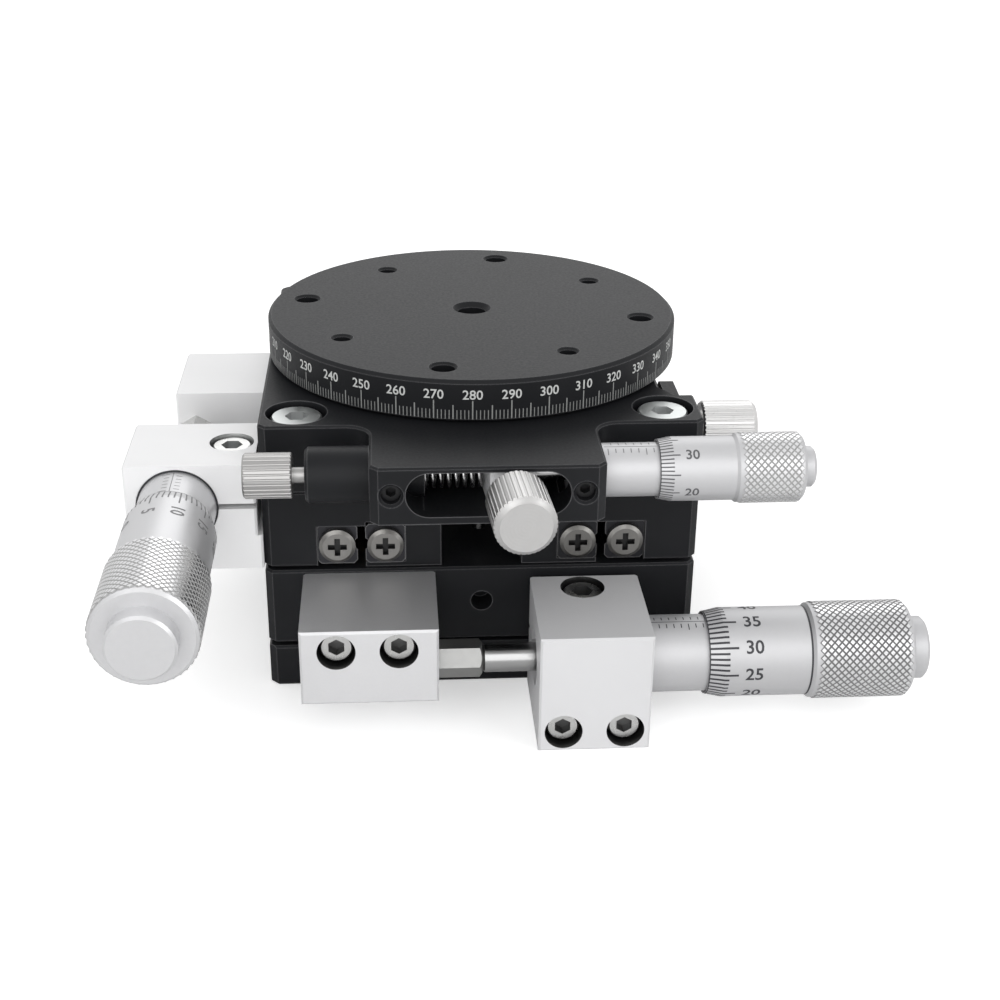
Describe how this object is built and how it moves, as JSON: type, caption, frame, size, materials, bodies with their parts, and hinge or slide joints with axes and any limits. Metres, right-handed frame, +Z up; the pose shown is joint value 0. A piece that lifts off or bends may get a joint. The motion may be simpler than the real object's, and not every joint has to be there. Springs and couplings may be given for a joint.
{
  "type": "manual x-y-rotation stage",
  "caption": "Square two-axis crossed-roller slide with a round rotary table on top, moved by micrometer heads; a tangent arm in a front nose gives the fine rotation.",
  "frame": {"origin": "where the axis of the rotary table meets the underside of the foot, at the middle of its four threaded holes", "axes": "+Z up along the table axis; -Y is the side with the nose and the fine micrometer; +X is the side the X and fine micrometers point to"},
  "size_m": [0.1086, 0.1113, 0.0461],
  "materials": {
    "black_anodised": "satin black anodised",
    "satin_block": "bead-blasted satin",
    "micrometer_chrome": "satin chrome",
    "spindle_steel": "ground",
    "rail_steel": "hardened and ground",
    "steel_screws": "stainless",
    "nickel_screws": "nickel plated",
    "knob_steel": "turned and fluted",
    "spring_wire": "drawn wire",
    "cage_brass": "stamped strip"
  },
  "bodies": {
    "base": {"base_plate": "black_anodised", "x_inner_rails": "rail_steel", "x_inner_end_screws": "nickel_screws", "x_micrometer_block": "satin_block", "x_block_screws": "steel_screws", "x_clamp_screw": "steel_screws", "x_sleeve": "micrometer_chrome", "x_base_spring_pin": "spindle_steel", "x_lock_plate": "black_anodised", "x_lock_plate_screws": "nickel_screws", "x_return_spring": "spring_wire"},
    "x_spindle_body": {"x_spindle": "spindle_steel"},
    "x_thimble_body": {"x_thimble": "micrometer_chrome", "x_thimble_cap": "micrometer_chrome"},
    "x_cage": {"x_cage_strips": "cage_brass", "x_rollers": "rail_steel"},
    "x_stage": {"x_table": "black_anodised", "x_outer_rails": "rail_steel", "x_table_end_screws": "nickel_screws", "x_anvil_block": "satin_block", "x_anvil_pin": "spindle_steel", "x_anvil_screws": "steel_screws", "x_table_spring_pins": "spindle_steel", "y_inner_rails": "rail_steel", "y_anvil_block": "satin_block", "y_anvil_pin": "spindle_steel", "y_anvil_screws": "steel_screws", "y_lock_plate": "black_anodised", "y_lock_plate_screws": "nickel_screws", "y_return_spring": "spring_wire"},
    "x_lock": {"x_lock_knob": "knob_steel"},
    "y_cage": {"y_cage_strips": "cage_brass", "y_rollers": "rail_steel"},
    "y_stage": {"y_table": "black_anodised", "y_outer_rails": "rail_steel", "y_outer_end_screws": "nickel_screws", "y_table_spring_pin": "spindle_steel", "y_micrometer_block": "satin_block", "y_block_screws": "steel_screws", "y_clamp_screw": "steel_screws", "y_sleeve": "micrometer_chrome", "rotary_base": "black_anodised", "rotary_base_screws": "nickel_screws", "nose_set_screws": "steel_screws", "spring_housing": "black_anodised", "plunger_spring": "spring_wire", "fine_sleeve": "micrometer_chrome", "bearing_inner_ring": "rail_steel"},
    "y_spindle_body": {"y_spindle": "spindle_steel"},
    "y_thimble_body": {"y_thimble": "micrometer_chrome", "y_thimble_cap": "micrometer_chrome"},
    "y_lock": {"y_lock_knob": "knob_steel"},
    "fine_spindle_body": {"fine_spindle": "spindle_steel"},
    "fine_thimble_body": {"fine_thimble": "micrometer_chrome", "fine_thimble_cap": "micrometer_chrome"},
    "plunger_lock": {"plunger_lock_screw": "knob_steel"},
    "bearing_cage": {"bearing_rollers": "rail_steel"},
    "clamp_arm": {"clamp_ring": "satin_block"},
    "arm_lock": {"clamp_knob": "knob_steel"},
    "table": {"rotary_table": "black_anodised"}
  },
  "joints": [
    {"name": "x_spindle_feed", "type": "slide", "parent": "base", "child": "x_spindle_body", "axis": [-1, 0, 0], "range_m": [-0.00651, 0.00651]},
    {"name": "x_thimble_turn", "type": "hinge", "parent": "x_spindle_body", "child": "x_thimble_body", "pos_m": [0.0302, -0.0398, 0.0097], "axis": [-1, 0, 0], "range_deg": [-4681, 4681]},
    {"name": "x_slide", "type": "slide", "parent": "base", "child": "x_stage", "axis": [1, 0, 0], "range_m": [-0.0065, 0.0065], "deforming": ["x_return_spring"]},
    {"name": "x_cage_roll", "type": "slide", "parent": "base", "child": "x_cage", "axis": [1, 0, 0], "range_m": [-0.00325, 0.00325]},
    {"name": "x_lock_turn", "type": "hinge", "parent": "x_stage", "child": "x_lock", "pos_m": [0, 0.0354, 0.0131], "axis": [0, 1, 0], "range_deg": [0, 90]},
    {"name": "y_slide", "type": "slide", "parent": "x_stage", "child": "y_stage", "axis": [0, 1, 0], "range_m": [-0.0065, 0.0065], "deforming": ["y_return_spring"]},
    {"name": "y_cage_roll", "type": "slide", "parent": "x_stage", "child": "y_cage", "axis": [0, 1, 0], "range_m": [-0.00325, 0.00325]},
    {"name": "y_spindle_feed", "type": "slide", "parent": "y_stage", "child": "y_spindle_body", "axis": [0, 1, 0], "range_m": [-0.00651, 0.00651]},
    {"name": "y_thimble_turn", "type": "hinge", "parent": "y_spindle_body", "child": "y_thimble_body", "pos_m": [-0.0412, -0.037, 0.02845], "axis": [0, 1, 0], "range_deg": [-4681, 4681]},
    {"name": "y_lock_turn", "type": "hinge", "parent": "y_stage", "child": "y_lock", "pos_m": [0.0354, 0, 0.0264], "axis": [1, 0, 0], "range_deg": [0, 90]},
    {"name": "fine_spindle_feed", "type": "slide", "parent": "y_stage", "child": "fine_spindle_body", "axis": [-1, 0, 0], "range_m": [-0.00046, 0.00601]},
    {"name": "fine_thimble_turn", "type": "hinge", "parent": "fine_spindle_body", "child": "fine_thimble_body", "pos_m": [0.0224, -0.037, 0.03615], "axis": [-1, 0, 0], "range_deg": [-325, 4321]},
    {"name": "arm_swing", "type": "hinge", "parent": "y_stage", "child": "clamp_arm", "pos_m": [0, 0, 0.03615], "axis": [0, 0, 1], "range_deg": [-9.26, 0.69], "deforming": ["plunger_spring"]},
    {"name": "arm_lock_turn", "type": "hinge", "parent": "clamp_arm", "child": "arm_lock", "pos_m": [0.0034, -0.04517, 0.03615], "axis": [0.075, -0.9972, 0], "range_deg": [0, 180]},
    {"name": "table_turn", "type": "hinge", "parent": "clamp_arm", "child": "table", "pos_m": [0, 0, 0.0461], "axis": [0, 0, 1], "continuous": true},
    {"name": "bearing_roll", "type": "hinge", "parent": "y_stage", "child": "bearing_cage", "pos_m": [0, 0, 0.0364], "axis": [0, 0, 1], "continuous": true},
    {"name": "plunger_lock_turn", "type": "hinge", "parent": "y_stage", "child": "plunger_lock", "pos_m": [-0.0251, -0.037, 0.03615], "axis": [-1, 0, 0], "range_deg": [0, 360]}
  ],
  "couplings": [
    {"joint": "x_thimble_turn", "follows": "x_slide", "rad_per_m": -12566},
    {"joint": "x_spindle_feed", "follows": "x_slide", "ratio": -1},
    {"joint": "x_cage_roll", "follows": "x_slide", "ratio": 0.5},
    {"joint": "y_thimble_turn", "follows": "y_slide", "rad_per_m": -12566},
    {"joint": "y_spindle_feed", "follows": "y_slide", "ratio": -1},
    {"joint": "y_cage_roll", "follows": "y_slide", "ratio": 0.5},
    {"joint": "fine_thimble_turn", "follows": "arm_swing", "ratio": -466.21},
    {"joint": "fine_spindle_feed", "follows": "arm_swing", "m_per_rad": -0.0371},
    {"joint": "bearing_roll", "follows": "table_turn", "ratio": 0.5}
  ]
}
